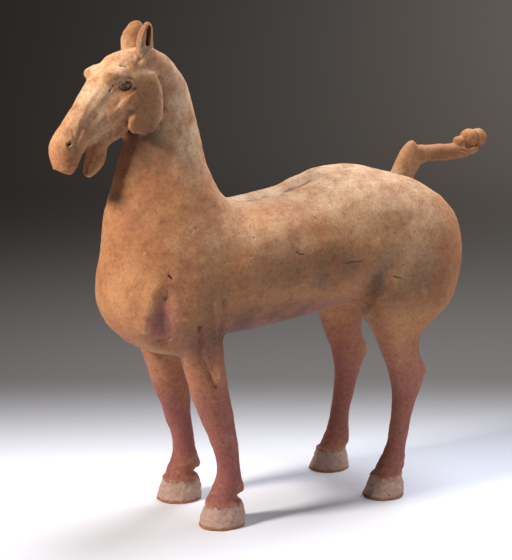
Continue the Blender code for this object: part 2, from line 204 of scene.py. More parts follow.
sweep = build_sweep()
sweep.data.materials.append(studio_paper())

# %% Lights
# Name; place; aimed at; size in metres; watts; spread in degrees; colour
LAMPS = [
    # before the horse's face and above it
    ("key", (-0.05, -2.8, 2.4), (0.0, -0.1, 0.55), 0.55, 42, 100, "#fff6ea"),
    # high above and behind the horse
    ("overhead", (-0.45, 1.2, 3.1), (0.1, 0.1, 0.3), 2.2, 62, 110, "#f6f8ff"),
    # to the camera's right, beyond the rump
    ("side", (3.0, 1.9, 1.7), (0.0, 0.25, 0.5), 1.2, 6, 80, "#f4f6ff"),
    # for the paper behind the horse, near and far
    ("wall_glow", (-0.6, 3.4, 1.8), (-1.9, 2.4, 0.1), 0.8, 22, 130, "#fff6f0"),
    ("wall_top", (-2.3, 4.6, 1.9), (-4.9, 3.3, 0.7), 0.8, 30, 130, "#fff6f0"),
]
WORLD_COLOR = "#8f8f98"
WORLD_STRENGTH = 0.05


def softbox(name, spot, aimed_at, size, watts, spread, color):
    """A square soft light whose grid keeps it within the spread, in degrees."""
    light = bpy.data.lights.new(name, "AREA")
    light.shape = "SQUARE"
    light.size = size
    light.energy = watts
    light.spread = math.radians(spread)
    light.color = linear(color)[:3]
    lamp = bpy.data.objects.new(name, light)
    lamp.location = spot
    lamp.rotation_euler = (Vector(aimed_at) - Vector(spot)).to_track_quat("-Z", "Y").to_euler()
    bpy.context.collection.objects.link(lamp)


for lamp in LAMPS:
    softbox(*lamp)

bpy.context.scene.view_settings.view_transform = "Standard"

world = bpy.data.worlds.new("studio")
bpy.context.scene.world = world
world.use_nodes = True
world.node_tree.nodes["Background"].inputs["Color"].default_value = linear(WORLD_COLOR)
world.node_tree.nodes["Background"].inputs["Strength"].default_value = WORLD_STRENGTH

# %% [markdown]
# ## The masses of the horse
# A modeller in clay starts from rolls and eggs: a barrel, a neck and chest in one sweep, a long wedge of a
# skull, a thin lower jaw, four tapering legs. Each mass here is a loft: a few oval rings, whose front and
# back points follow the outline, with smooth rows worked out between them. Separate ovals keep every
# length easy to change, which one sculpted mesh would not.


# %% Rings and lofts
def in_between(knots, steps):
    """Smooth rows between the rows of a table, so many steps to each gap."""
    knots = np.asarray(knots, float)
    padded = np.vstack([2 * knots[0] - knots[1], knots, 2 * knots[-1] - knots[-2]])
    rows = []
    for i in range(1, len(padded) - 2):
        before, start, end, after = padded[i - 1 : i + 3]
        for t in np.arange(steps) / steps:
            slope = (end - before) * t
            bend = (2 * before - 5 * start + 4 * end - after) * t**2
            twist = (3 * start - before - 3 * end + after) * t**3
            rows.append(0.5 * (2 * start + slope + bend + twist))
    rows.append(knots[-1])
    return np.array(rows)


def ring(row, sides):
    """One closed section across the horse, from its front point to its back point."""
    front_y, front_z, back_y, back_z, half_width, widest, squareness, middle_x = row
    angle = 2 * np.pi * np.arange(sides) / sides
    along, across = np.cos(angle), np.sin(angle)
    power = 2 / squareness
    reach = np.abs(along) ** power
    part = np.where(along > 0, widest * (1 - reach), widest + (1 - widest) * reach)
    offset = np.sign(across) * np.abs(across) ** power * half_width
    y = front_y + (back_y - front_y) * part
    z = front_z + (back_z - front_z) * part
    return share(np.stack([middle_x + offset, y - MIDDLE_Y, z], axis=1))


def skin(name, rings):
    """A closed skin over rings of points that all have the same count."""
    sides = len(rings[0])
    last = (len(rings) - 1) * sides
    faces = [tuple(reversed(range(sides))), tuple(range(last, last + sides))]
    for start in range(0, last, sides):
        for s in range(sides):
            t = (s + 1) % sides
            faces.append((start + s, start + t, start + sides + t, start + sides + s))
    mesh = bpy.data.meshes.new(name)
    mesh.from_pydata([tuple(point) for point in np.vstack(rings)], [], faces)
    shape = bmesh.new()
    shape.from_mesh(mesh)
    bmesh.ops.recalc_face_normals(shape, faces=shape.faces)
    shape.to_mesh(mesh)
    shape.free()
    return mesh


ROWS_TO_A_GAP = 6
PLAIN_OVAL = (0.5, 2.0)  # where it is widest; squareness
# Points round a ring
BODY_SIDES = 64
SKULL_SIDES = 56
JAW_SIDES = 40
LIMB_SIDES = 48
PEBBLE_SIDES = 32


def loft(name, rows, sides, steps=ROWS_TO_A_GAP):
    """A closed skin through a table of rings, with so many steps between two of them."""
    return skin(name, [ring(row, sides) for row in in_between(rows, steps)])


def body_rows(table):
    """Rings across the middle of the horse, plain ovals where a row ends after its half width."""
    return [(*front, *back, width, *(shape or PLAIN_OVAL), 0) for front, back, width, *shape in table]


def leg_rows(table, side):
    """Level rings, plain ovals, on one side."""
    return [(y - depth, z, y + depth, z, width, 0.5, 2.0, side * x) for z, y, x, width, depth in table]


# %% Neck, chest and barrel
# Rings: front (or top) y, z; back (or bottom) y, z; half width; where it is widest and squareness
FOREQUARTERS = [
    ((-175, 347), (-95, 354), 55),
    ((-211, 357), (-76, 365), 90, 0.5, 2.2),
    ((-244, 376), (-52, 383), 114, 0.5, 2.3),
    ((-278, 413), (-28, 416), 132, 0.5, 2.3),
    ((-292, 450), (-18, 448), 139, 0.5, 2.3),
    ((-295, 490), (-15, 492), 140, 0.5, 2.3),
    ((-288, 550), (-12, 548), 130, 0.52, 2.2),
    ((-289, 597), (-15, 595), 113, 0.54, 2.1),
    ((-284, 640), (-25, 632), 95, 0.54, 2.0),
    ((-279, 660), (-40, 655), 86, 0.54, 2.0),
    ((-276, 680), (-54, 678), 78, 0.54, 2.0),
    ((-274, 697), (-62, 697), 70, 0.54, 2.0),
    ((-267, 720), (-71, 722), 62, 0.54, 2.0),
    ((-250, 768), (-84, 770), 50, 0.52, 2.0),
    ((-238, 805), (-94, 812), 44),
    ((-233, 840), (-105, 856), 38),
    ((-232, 860), (-119, 892), 36),
    ((-236, 876), (-142, 925), 37),
    ((-243, 890), (-172, 947), 35),
    ((-252, 903), (-205, 952), 26),
]
BARREL = [
    ((-180, 600), (-180, 380), 60),
    ((-120, 632), (-120, 362), 118, 0.5, 2.1),
    ((-60, 645), (-60, 370), 134, 0.5, 2.1),
    ((0, 644), (0, 373), 136, 0.5, 2.1),
    ((60, 650), (60, 377), 132, 0.5, 2.1),
    ((128, 663), (128, 387), 131, 0.5, 2.1),
    ((171, 679), (171, 392), 134, 0.5, 2.1),
    ((215, 692), (215, 397), 140, 0.5, 2.1),
    ((260, 694), (260, 402), 146, 0.5, 2.1),
    ((320, 686), (320, 405), 145, 0.5, 2.1),
    ((380, 664), (380, 415), 130, 0.5, 2.1),
    ((430, 630), (430, 440), 95),
    ((460, 590), (460, 480), 40),
]

# %% Skull and lower jaw
SKULL = [
    ((-176, 945), (-196, 868), 32),
    ((-215, 952), (-213, 836), 43, 0.45, 2.2),
    ((-262, 940), (-236, 812), 47, 0.35, 2.6),
    ((-294, 914), (-258, 802), 46, 0.35, 2.8),
    ((-318, 889), (-278, 796), 40, 0.4, 2.8),
    ((-339, 860), (-298, 788), 34, 0.5, 2.7),
    ((-364, 827), (-322, 776), 31, 0.55, 2.6),
    ((-387, 798), (-337, 758), 31, 0.55, 2.5),
    ((-399, 776), (-346, 740), 33, 0.5, 2.4),
    ((-399, 752), (-354, 726), 31, 0.5, 2.3),
    ((-394, 730), (-362, 716), 22),
]
LOWER_JAW = [
    ((-246, 822), (-248, 783), 27, 0.5, 2.2),
    ((-285, 806), (-273, 773), 24, 0.5, 2.2),
    ((-308, 792), (-286, 762), 24, 0.5, 2.2),
    ((-320, 772), (-286, 746), 24, 0.5, 2.4),
    ((-324, 752), (-289, 730), 23, 0.5, 2.4),
    ((-329, 734), (-303, 718), 20, 0.5, 2.4),
    ((-333, 712), (-322, 706), 13, 0.5, 2.2),
]

# %% Legs
# Level rings: z; y and x of the middle; half width; half depth
FORELEG = [
    (-8, -88, 93, 44, 47),
    (0, -88, 93, 44, 47),
    (20, -84, 93, 41, 45),
    (36, -83, 93, 35, 42),
    (50, -86, 93, 30, 34),
    (58, -88, 93, 27, 29),
    (66, -82, 93, 26, 32),
    (84, -74, 93, 25, 31),
    (110, -73, 95, 21, 24.5),
    (146, -78, 96, 21, 25),
    (179, -87, 97, 24, 29),
    (218, -97, 93, 27, 35),
    (277, -113, 91, 32, 40),
    (330, -125, 92, 36, 43),
    (372, -134, 90, 42, 46),
    (430, -150, 82, 52, 60),
    (500, -160, 72, 58, 70),
    (560, -160, 60, 45, 60),
]
HIND_LEG = [
    (-8, 293, 107, 43, 45),
    (0, 293, 107, 43, 45),
    (20, 298, 107, 39, 40),
    (36, 300, 107, 33, 36),
    (50, 301, 107, 26, 28),
    (60, 309, 107, 24, 32),
    (70, 314, 107, 23, 30),
    (101, 320, 110, 20, 23),
    (135, 327, 112, 20, 22),
    (182, 336, 112, 21, 24),
    (219, 344, 111, 24, 31),
    (262, 347, 110, 27, 44),
    (296, 332, 110, 30, 42),
    (330, 324, 108, 36, 48),
    (351, 324, 104, 44, 57),
    (378, 340, 98, 55, 92),
    (401, 348, 92, 66, 107),
    (434, 352, 88, 74, 123),
    (470, 353, 84, 78, 136),
    (502, 352, 82, 80, 144),
    (535, 351, 80, 78, 144),
    (575, 348, 76, 72, 139),
    (607, 340, 70, 62, 129),
    (638, 325, 60, 48, 112),
    (659, 310, 50, 36, 92),
    (676, 285, 44, 24, 60),
    (684, 275, 42, 10, 30),
]
FORE_TUFT = [
    (118, -66, 94, 8, 9),
    (98, -62, 94, 13, 15),
    (80, -58, 94, 14, 19),
    (66, -53, 94, 12, 17),
    (59, -49, 94, 6, 11),
]
HIND_TUFT = [
    (100, 322, 108, 8, 9),
    (82, 326, 107, 13, 14),
    (64, 330, 106, 13, 14),
    (52, 333, 106, 11, 12),
    (46, 335, 106, 6, 8),
]

# %% [markdown]
# ## Pressing the masses together
# The potter presses the rolls into one another and wipes the joins with a wet hand, long strokes on the
# body and short ones on the face. A voxel remesh does the pressing: it gives all the masses one skin.
# The wiping moves every point towards the middle of its neighbours, more often where the hand is wider.

# %% Pebbles of clay
# Middle x, y, z; half sizes; outline squareness and face squareness, 2 where left out
HEAD_PEBBLES = [
    ((42, -230, 850), (15, 44, 61), 2.1, 4.5),  # cheek plate
    ((42, -285, 901), (17, 27, 17)),  # brow
    ((31, -248, 893), (21, 55, 32), 2.0, 2.6),  # temple
    ((27, -214, 936), (18, 26, 20)),  # collar of the ear socket
]
PEBBLE_LEVELS = 16
PEBBLE_POLE = 0.03


def pebble(middle, size, outline=2.0, face=2.0, side=1):
    """An egg of clay; a squarer face makes it a plate."""
    x, y, z = middle
    rows = []
    for angle in np.pi * np.arange(PEBBLE_LEVELS + 1) / PEBBLE_LEVELS:
        level = z + size[2] * np.sign(np.cos(angle)) * abs(np.cos(angle)) ** (2 / outline)
        wide = max(abs(np.sin(angle)) ** (2 / outline), PEBBLE_POLE)
        width = size[0] * wide ** (2 / face)
        rows.append((y - size[1] * wide, level, y + size[1] * wide, level, width, 0.5, face, side * x))
    return loft("pebble", rows, PEBBLE_SIDES, steps=1)


# %% Press and wipe
WIPE_PULL = 0.6  # share of the way to the neighbours' middle in one pass
HARD_RIM = 3  # a spot is at full strength from a third of the way in
SOFT_RIM = 1.6  # a longer slope, full from five eighths of the way in


def settled(lump):
    """The lump with its changes made lasting."""
    graph = bpy.context.evaluated_depsgraph_get()
    mesh = bpy.data.meshes.new_from_object(lump.evaluated_get(graph))
    lump.modifiers.clear()
    lump.data = mesh
    return lump


def regrained(lump, grain):
    """One skin over everything in the lump, on a grid of that size."""
    press = lump.modifiers.new("press", "REMESH")
    press.mode = "VOXEL"
    press.voxel_size = grain
    press.adaptivity = 0
    return settled(lump)


def pressed(name, masses, grain):
    """The masses pressed into one lump."""
    shape = bmesh.new()
    for mesh in masses:
        shape.from_mesh(mesh)
    mesh = bpy.data.meshes.new(name)
    shape.to_mesh(mesh)
    shape.free()
    lump = bpy.data.objects.new(name, mesh)
    bpy.context.collection.objects.link(lump)
    return regrained(lump, grain)


def skin_points(mesh):
    points = np.empty(len(mesh.vertices) * 3)
    mesh.vertices.foreach_get("co", points)
    return points.reshape(-1, 3)


def outward_normals(mesh):
    normals = np.empty(len(mesh.vertices) * 3)
    mesh.vertex_normals.foreach_get("vector", normals)
    return normals.reshape(-1, 3)


def move_skin(mesh, points):
    mesh.vertices.foreach_set("co", points.ravel())
    mesh.update()


def edge_ends(mesh):
    edges = np.empty(len(mesh.edges) * 2, np.int64)
    mesh.edges.foreach_get("vertices", edges)
    return edges.reshape(-1, 2).T


def neighbour_mean(mesh):
    """A function that gives, for values on the points, the mean of each point's neighbours."""
    start, end = edge_ends(mesh)
    here = np.concatenate([start, end])
    there = np.concatenate([end, start])
    count = np.bincount(here, minlength=len(mesh.vertices))

    def mean(values):
        columns = [np.bincount(here, values[there, axis], len(values)) / count for axis in range(3)]
        return np.stack(columns, 1)

    return mean


def spot_weight(points, spots, rim=SOFT_RIM):
    """How much of each point lies in the oval spots: 0 outside, up to each spot's strength inside."""
    weight = np.zeros(len(points))
    for (x, y, z), size, strength in spots:
        for side in BOTH:
            gap = np.linalg.norm((points - place(side * x, y, z)) / share(size), axis=1)
            weight = np.maximum(weight, strength * np.clip(rim * (1 - gap), 0, 1))
    return weight


def wipe(mesh, spots, reach):
    """Wiped smooth with a wet hand inside the spots, fading to nothing at their rims."""
    points = skin_points(mesh)
    weight = spot_weight(points, spots, HARD_RIM)
    start, end = edge_ends(mesh)
    length = np.linalg.norm(points[start] - points[end], axis=1).mean()
    mean = neighbour_mean(mesh)
    for _ in range(max(1, round((reach / length) ** 2))):
        points += WIPE_PULL * weight[:, None] * (mean(points) - points)
    move_skin(mesh, points)


# Middle x, y, z; half sizes; strength
BODY_SPOTS = [
    ((60, 100, 560), (170, 470, 175), 1.0),
    ((60, 320, 560), (170, 300, 190), 1.0),
    ((0, -170, 690), (110, 160, 110), 1.0),
    ((60, -190, 420), (80, 90, 70), 0.5),
    ((60, -110, 390), (60, 80, 60), 0.25),
    ((90, 320, 400), (90, 150, 70), 0.7),
    ((0, -160, 900), (50, 70, 70), 0.4),
]
HEAD_SPOTS = [((0, -270, 860), (150, 190, 130), 1.0)]
WHOLE_SKIN = [((0, 0, 500), (9000, 9000, 9000), 1.0)]
PRESS_GRAIN = 0.0035  # metres, as the reaches are
SOFT_REACH = 0.042
HEAD_REACH = 0.007
SKIN_REACH = 0.006


def press_horse():
    masses = [
        loft("forequarters", body_rows(FOREQUARTERS), BODY_SIDES),
        loft("barrel", body_rows(BARREL), BODY_SIDES),
        loft("skull", body_rows(SKULL), SKULL_SIDES),
        loft("lower_jaw", body_rows(LOWER_JAW), JAW_SIDES),
    ]
    for side in BOTH:
        for table in (FORELEG, HIND_LEG, FORE_TUFT, HIND_TUFT):
            masses.append(loft("leg", leg_rows(table, side), LIMB_SIDES))
        for row in HEAD_PEBBLES:
            masses.append(pebble(*row, side=side))
    lump = pressed("clay_horse", masses, PRESS_GRAIN)
    wipe(lump.data, BODY_SPOTS, SOFT_REACH)
    wipe(lump.data, HEAD_SPOTS, HEAD_REACH)
    wipe(lump.data, WHOLE_SKIN, SKIN_REACH)
    return lump


clay_horse = press_horse()
print("pressed horse:", len(clay_horse.data.vertices), "points")

# %% [markdown]
# ## Broad strokes
# With the joins wiped, the modeller presses the large hollows with a thumb and draws up ridges between
# them: the furrow down the back, the pocket beside the chest, the flank, the cheekbone, the eye sockets.
# A stroke follows a path over the skin and pushes each point along its own normal, most at the middle of
# the path and not at all at the rim. One rule covers thumb, knife and needle: only the reach, the depth
# and the edge of the mark change.

# %% Strokes of thumb and knife
SOFT = 2.0  # a thumb: round bottom, no edge
CRISP = 1.0  # a knife or needle: pointed bottom
TINY = 1e-12  # keeps a path of one point from a division by zero


def nearest(points, spot):
    return points[np.argmin(((points - spot) ** 2).sum(axis=1))]


def draw(mesh, strokes):
    """Presses strokes into the skin: path, reach, depth (a swelling where negative), edge, sides.

    The edge is SOFT and the sides are BOTH where a stroke leaves them out.
    """
    points = skin_points(mesh)
    outward = outward_normals(mesh)
    for path, reach, depth, *ends in strokes:
        edge, sides = (*ends, *(SOFT, BOTH)[len(ends):])
        for side in sides:
            line = [nearest(points, place(side * x, y, z)) for x, y, z in path]
            radius = share(reach)
            low = np.min(line, axis=0) - radius
            high = np.max(line, axis=0) + radius
            near = np.flatnonzero(np.all((points > low) & (points < high), axis=1))
            spot = points[near]
            gap = np.linalg.norm(spot - line[0], axis=1)
            for start, end in zip(line[:-1], line[1:]):
                along = end - start
                part = np.clip((spot - start) @ along / max(along @ along, TINY), 0, 1)
                gap = np.minimum(gap, np.linalg.norm(spot - start - part[:, None] * along, axis=1))
            fade = np.clip(1 - (gap / radius) ** edge, 0, 1) ** 2
            points[near] -= (share(depth) * fade)[:, None] * outward[near]
    move_skin(mesh, points)


BROAD_STROKES = [
    ([(0, -10, 645), (0, 100, 655), (0, 200, 685), (0, 300, 685), (0, 375, 665)], 40, 13, SOFT, ONCE),  # back
    ([(116, -225, 482), (108, -228, 440), (93, -222, 395)], 30, 9),  # pocket beside the chest
    ([(131, -193, 440), (120, -185, 395), (108, -172, 350)], 22, -4),  # front of the forearm
    ([(139, -128, 465), (130, -119, 382), (125, -113, 310)], 12, -4),  # rib down the forearm
    ([(134, -158, 420), (128, -154, 372), (126, -136, 330), (124, -119, 298)], 8, 4),
    ([(139, -102, 465), (131, -96, 405)], 12, 4),  # behind the elbow
    ([(153, 294, 508), (132, 248, 461), (92, 234, 417)], 36, 6),  # flank before the thigh
    ([(52, -268, 884)], 16, 8),  # eye socket
    ([(54, -255, 866), (50, -272, 849), (41, -291, 833)], 9, -4),  # cheekbone ridge
    ([(46, -261, 836), (38, -264, 815)], 15, 8),  # hollow before the cheek
    ([(31, -377, 779)], 15, -3),  # flare of the nostril
]
draw(clay_horse.data, BROAD_STROKES)
print("broad strokes:", len(BROAD_STROKES))

# %% [markdown]
# ## Sockets, and a finer grain
# The ears and the tail stand in holes that were cut while the clay was soft. The ring that makes a stem
# also cuts its socket: a little wider for the tail, which shows a dark seam, and a little narrower for the
# ears, whose clay was pressed up against them. Then the whole skin is worked again on a two millimetre
# grid, so that a needle's scratch has points to live in.

# %% Ears: the rings of a stem and a leaf
EAR_TURN = 28
EAR_ROOT = (27, -214)
EAR_STEM_FOOT = 920
EAR_STEM_TOP = 958
EAR_SOCKET_TOP = 970
EAR_SIDES = 64
EAR_HALF_WIDTH = 12.5
EAR_HALF_CHORD = 21.5
EAR_STEM_GAP = 1  # between the stem and the floor of its socket
EAR_CLEARANCE = -0.0014  # metres; below 0, so that no gap shows round the ear
# Level; lean back and outward; shares of width and chord
EAR_LEAF = [
    (958, 0, 0, 1.0, 1.0),
    (966, 0, 0, 1.0, 1.0),
    (974, 1.5, -0.5, 0.94, 0.95),
    (982, 3.5, -1.5, 0.85, 0.85),
    (989, 5.5, -2.5, 0.70, 0.70),
    (994.5, 7, -3, 0.52, 0.52),
    (998.5, 8, -3.5, 0.30, 0.32),
    (1000, 8, -3.5, 0.10, 0.12),
]


def ear_ring(side, level, back=0, outward=0, width=1, chord=1, clearance=0.0):
    angle = 2 * np.pi * np.arange(EAR_SIDES) / EAR_SIDES
    across = (share(EAR_HALF_WIDTH * width) + clearance) * np.cos(angle)
    along = (share(EAR_HALF_CHORD * chord) + clearance) * np.sin(angle)
    turn = np.radians(EAR_TURN)
    root_x, root_y = EAR_ROOT
    x = side * (across * np.cos(turn) - along * np.sin(turn) + share(root_x + outward))
    y = across * np.sin(turn) + along * np.cos(turn) + share(root_y - MIDDLE_Y + back)
    return np.stack([x, y, np.full(EAR_SIDES, share(level))], axis=1)


# %% Tail: the rings of a stem, a stub and a bar
TAIL_CLEARANCE = 0.0016  # metres
TAIL_SOCKET_REACH = 62
TAIL_STEM = [
    ((359, 635), (407, 616), 18, 0.5, 3.0),
    ((366, 646), (414, 627), 18, 0.5, 3.0),
    ((373, 657.5), (421, 638.5), 18, 0.5, 3.0),
]
TAIL_STUB = [
    ((380, 669), (428, 650), 18, 0.5, 3.0),
    ((389, 686), (436, 664), 18, 0.5, 3.0),
    ((399, 705), (446, 680), 17, 0.5, 2.8),
    ((409, 718), (450, 695), 16, 0.5, 2.6),
    ((420, 727), (446, 708), 12, 0.5, 2.4),
    ((428, 730), (437, 720), 5),
]


def ear_socket(side):
    levels = (EAR_STEM_FOOT, EAR_SOCKET_TOP)
    return skin("ear_socket", [ear_ring(side, level, clearance=EAR_CLEARANCE) for level in levels])


def tail_socket():
    side_gap = TAIL_CLEARANCE / HEIGHT * 1000
    foot = np.array(body_rows(TAIL_STEM)[0])
    rise = np.array(body_rows(TAIL_STUB)[0]) - body_rows(TAIL_STEM)[-1]
    up = rise[:2] / np.linalg.norm(rise[:2])
    across = foot[2:4] - foot[:2]
    across = across / np.linalg.norm(across)
    rings = []
    for lift in (0, TAIL_SOCKET_REACH):
        row = foot.copy()
        row[:2] += up * lift - across * side_gap
        row[2:4] += up * lift + across * side_gap
        row[4] += side_gap
        rings.append(ring(row, LIMB_SIDES))
    return skin("tail_socket", rings)


# %% Cut the sockets and refine the skin
FINE_GRAIN = 0.002
# Lumps of clay that hold the ear: rows as in HEAD_PEBBLES
EAR_COLLAR = [
    ((24, -240, 938), (9, 7, 7)),
    ((35, -236, 934), (9, 7, 8)),
    ((41, -226, 925), (7, 8, 8)),
]


def cut(lump, mesh):
    """Takes a closed shape out of the lump."""
    knife = bpy.data.objects.new("knife", mesh)
    bpy.context.collection.objects.link(knife)
    slice_away = lump.modifiers.new("cut", "BOOLEAN")
    slice_away.operation = "DIFFERENCE"
    slice_away.solver = "MANIFOLD"
    slice_away.object = knife
    settled(lump)
    bpy.data.objects.remove(knife)


for side in BOTH:
    cut(clay_horse, ear_socket(side))
cut(clay_horse, tail_socket())
bare_horse = clay_horse
bare_horse.name = "bare_horse"
collars = [pebble(*row, side=side) for row in EAR_COLLAR for side in BOTH]
clay_horse = pressed("clay_horse", [bare_horse.data, *collars], FINE_GRAIN)
bpy.data.objects.remove(bare_horse)
wipe(clay_horse.data, WHOLE_SKIN, 2 * FINE_GRAIN)
print("fine skin:", len(clay_horse.data.vertices), "points")

# %% [markdown]
# ## The head
# The face carries the carving: a deep-set eye with two lids, a slit for the tear, a knife-edged cheekbone,
# a flat round cheek that stands proud of the neck, flaring nostrils and an open, snarling mouth.
# These strokes are short and sharp. They could be painted as bump, but the low light of the photograph
# catches their edges, so they are pressed into the mesh.


# %% Face strokes
def arc(middle, half_y, half_z, start, end, steps=9):
    """Part of an oval on the side of the head, angles in degrees: 0 points back, 90 up."""
    x, y, z = middle
    angles = np.radians(np.linspace(start, end, steps))
    return [(x, y + half_y * math.cos(a), z + half_z * math.sin(a)) for a in angles]


EYE_MIDDLE = (52, -267, 885)
CHEEK_MIDDLE = (44, -230, 850)
NOSTRIL = (30, -378, 778)

EYE_STROKES = [
    ([EYE_MIDDLE], 9, -4),  # eyeball
    (arc(EYE_MIDDLE, 9.5, 7.5, 0, 360, 17), 3, 2.2, CRISP),  # furrow round the eyeball
    (arc(EYE_MIDDLE, 16, 11, 10, 170), 3.8, -2.6),  # upper lid
    (arc(EYE_MIDDLE, 19, 15.5, 20, 160), 3, 1.2, CRISP),  # fold above the lid
    (arc(EYE_MIDDLE, 15, 11, 200, 340), 3.2, -1.5),  # lower lid
    ([(47, -291, 890), (42, -295, 875)], 3.6, 4.5, CRISP),  # tear slit
    ([(55, -250, 879)], 7, 3),  # outer corner
]
CHEEK_STROKES = [
    (arc(CHEEK_MIDDLE, 41, 57, -115, 62, 15), 6, -1.8),  # raised rim of the cheek
    (arc((38, -230, 850), 50, 68, -105, 40, 15), 10, 2.6),  # gutter behind it
    ([(54, -252, 869), (50, -270, 852), (42, -289, 834)], 4.5, -2.2, CRISP),  # cheekbone edge
    ([(54, -257, 874), (50, -275, 857)], 3, -1.2, CRISP),  # second edge above it
    ([(48, -257, 842), (38, -262, 816)], 15, 2.2),  # shadow under the cheekbone
    ([(41, -281, 827), (36, -290, 812)], 9, 1.1),
    ([(37, -294, 821)], 5, -1.8),  # knob before it
    ([(46, -292, 866), (37, -318, 836), (31, -340, 808)], 14, 2),  # side of the nose
    # edge of the forehead and nose
    ([(30, -262, 932), (42, -286, 908), (31, -312, 884), (27, -336, 848), (26, -358, 814)], 7, -1.4),
    ([(23, -283, 795), (12, -252, 787)], 2.4, -1.4, CRISP),  # cords under the jaw
    ([(24, -287, 788), (14, -256, 783)], 2.2, 1.4, CRISP),
]
MUZZLE_STROKES = [
    ([NOSTRIL], 12, -1.6),  # flare
    ([NOSTRIL, (31, -375, 781)], 6, 9),  # hole
    ([(30, -351, 809), (31, -357, 790), (32, -363, 773)], 5, 1.7),  # crease behind it
    ([(31, -344, 803), (31, -350, 786)], 4, -1.4),
    ([(31, -368, 806), (31, -366, 790)], 4, 1),
    ([(30, -356, 757), (31, -366, 750), (29, -380, 746), (22, -391, 745)], 3, 0.9, CRISP),  # lip line
    ([(29, -368, 737), (25, -381, 732), (14, -388, 728)], 4, -1.4),  # rolled upper lip
    ([(22, -340, 768), (25, -352, 748), (22, -360, 733)], 3, 1.6, CRISP),  # inside the lip
    ([(0, -331, 762), (0, -334, 742), (0, -336, 722)], 12, 4, SOFT, ONCE),  # channel of the tongue
    ([(16, -330, 756), (15, -334, 736), (11, -337, 718)], 3, -1.6),  # lower lip
    ([(22, -303, 748), (20, -310, 730)], 6, -1.4),  # chin
    ([(21, -316, 752), (18, -322, 732), (13, -327, 716)], 2.6, 1.2, CRISP),
]
POLL_STROKES = [
    ([(20, -246, 945), (29, -244, 942), (36, -241, 937)], 3.4, 2, CRISP),  # clay round the ears
    ([(38, -271, 921), (44, -261, 920)], 2.6, 3.4, CRISP, ONCE),  # two nicks over the brow
    ([(45, -297, 912), (41, -301, 909)], 2.4, 2.6, CRISP, ONCE),
]
# The strokes of a group follow the skin that the group before it left
FACE_GROUPS = [
    EYE_STROKES[:1],
    EYE_STROKES[1:],
    CHEEK_STROKES[:2],
    CHEEK_STROKES[2:],
    MUZZLE_STROKES,
    POLL_STROKES,
]
for strokes in FACE_GROUPS:
    draw(clay_horse.data, strokes)
print("face strokes:", sum(len(strokes) for strokes in FACE_GROUPS))

# %% Chest, forearm and hind leg strokes
BODY_STROKES = [
    ([(114, -232, 540), (103, -241, 480), (86, -250, 420)], 26, -3.5),  # edge of the breast
    ([(0, -290, 556), (25, -287, 556), (52, -275, 557)], 9, 1.0),  # dip across the chest
    ([(113, -212, 404), (104, -219, 394), (88, -228, 388)], 4, 1.8, CRISP),  # fold over the foreleg
    ([(108, -216, 392), (94, -222, 382)], 3, 1.2, CRISP),
    ([(130, -156, 395), (128, -150, 350)], 8, 1.0),  # groove in the forearm
    ([(128, -154, 374), (126, -136, 332), (124, -118, 296)], 4, 0.9, CRISP),
    ([(126, -108, 394), (125, -112, 345), (124, -117, 296)], 4, 0.9, CRISP),
    ([(133, -124, 420), (129, -118, 360), (126, -115, 318)], 5, -1.6),
    ([(141, -106, 478), (137, -100, 440), (131, -95, 400)], 5, -1.6),  # edge of the elbow
    ([(93, -133, 236)], 14, -2),  # knee
    ([(93, -116, 200), (93, -108, 176)], 9, 1),
    ([(139, 346, 318), (137, 352, 274), (132, 356, 240)], 8, -2),  # tendon of the hock
    ([(136, 328, 300), (134, 330, 262)], 12, 1.6),
    ([(124, 386, 266)], 12, -2),  # point of the hock
    ([(122, 312, 262), (124, 316, 236)], 12, -1.4),
    ([(117, -78, 66), (112, -58, 62)], 4, 2.6, CRISP),  # notch under the fetlock
    ([(125, 324, 62), (118, 336, 58)], 4, 2.4, CRISP),
]
draw(clay_horse.data, BODY_STROKES)


# Middle x, y; half width; half depth; levels; reach; depth
HOOF_RINGS = [
    (93, -84, 31, 38, (47,), 8, -2.0),  # coronets
    (107, 300, 29, 33, (45,), 8, -2.0),
    (93, -86, 39, 44, (16, 30), 5, 0.35),  # ridges of growth
    (107, 296, 38, 41, (15, 28), 5, 0.35),
]
HOOF_RING_POINTS = 17


def hoof_rings(middle_x, middle_y, half_x, half_y, levels, reach, depth):
    """Level strokes round a hoof."""
    rings = []
    for level in levels:
        turns = np.linspace(0, 2 * np.pi, HOOF_RING_POINTS)
        path = [(middle_x + half_x * math.cos(a), middle_y + half_y * math.sin(a), level) for a in turns]
        rings.append((path, reach, depth))
    return rings


HOOF_STROKES = [stroke for row in HOOF_RINGS for stroke in hoof_rings(*row)]
draw(clay_horse.data, HOOF_STROKES)
print("body and hoof strokes:", len(BODY_STROKES + HOOF_STROKES))

# %% [markdown]
# ## Age: pits, cracks and an uneven skin
# Grit and straw burned out of the clay and left pits, a few slots and one long crack on the flank. The
# hand that wiped the clay left it slightly uneven. On the side that the camera sees, the pits lie where
# they show in the photograph; the far side gets as many pits, scattered by a seeded draw, and no slots.

